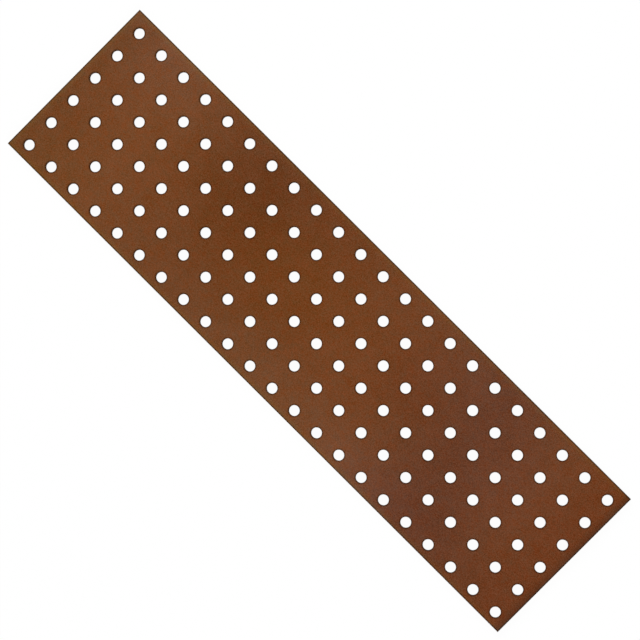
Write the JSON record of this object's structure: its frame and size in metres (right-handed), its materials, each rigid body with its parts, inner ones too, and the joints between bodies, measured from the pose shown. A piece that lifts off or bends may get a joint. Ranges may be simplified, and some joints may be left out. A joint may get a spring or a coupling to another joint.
{
  "type": "prototype board",
  "caption": "Bare perforated prototype board: a thin sheet of brown paper-phenolic laminate, punched all over with a square grid of plain holes.",
  "frame": {"origin": "on the underside, at the centre of the hole grid", "axes": "+X along the board towards its right end, +Y across it towards its back edge, away from the edge that is cut slightly askew, +Z out of the face that the punch enters"},
  "size_m": [0.1482, 0.0404, 0.0016],
  "materials": {
    "phenolic": "satin"
  },
  "bodies": {
    "root": {"perforated_board": "phenolic"}
  },
  "joints": []
}
